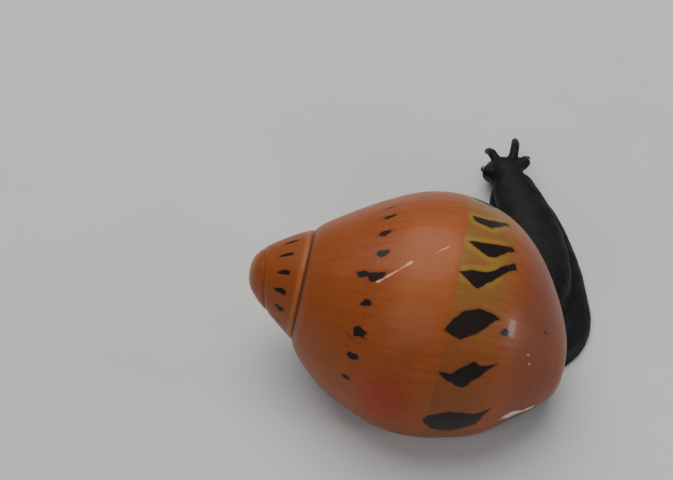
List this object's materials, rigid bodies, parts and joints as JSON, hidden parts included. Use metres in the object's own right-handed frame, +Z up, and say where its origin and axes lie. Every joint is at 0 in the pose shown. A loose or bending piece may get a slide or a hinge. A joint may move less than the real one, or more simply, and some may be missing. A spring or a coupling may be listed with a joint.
{
  "type": "nerite snail",
  "caption": "Life-size nerite snail with a glossy red-orange, dark-blotched shell, turning sharply left with its black head and foot bent round the shell.",
  "frame": {"origin": "centre of the model's footprint on the floor that the foot rests on", "axes": "+Z up, the model's shortest extent; +X to the viewer's right in the picture's view; +Y away from that viewer, the way the head points"},
  "size_m": [0.0268, 0.032, 0.0154],
  "materials": {
    "shell": "glossy red-orange shell with dark blotches on a yellow-brown band",
    "shell_deck": "smooth cream callus",
    "operculum": "satin limy lid",
    "flesh": "matte wet black skin",
    "eye": "glossy black eye"
  },
  "bodies": {
    "root": {"shell_body_whorl": "shell", "shell_spire": "shell", "shell_deck": "shell_deck", "operculum": "operculum", "foot_tail": "flesh", "foot_middle": "flesh", "foot_bend": "flesh", "foot_front": "flesh", "body_column": "flesh", "neck_rear": "flesh", "neck_front": "flesh", "head": "flesh", "snout": "flesh", "tentacle_left_base": "flesh", "tentacle_left_tip": "flesh", "tentacle_right_base": "flesh", "tentacle_right_tip": "flesh", "eye_stalk_left": "flesh", "eye_left": "eye", "eye_stalk_right": "flesh", "eye_right": "eye"}
  },
  "joints": []
}
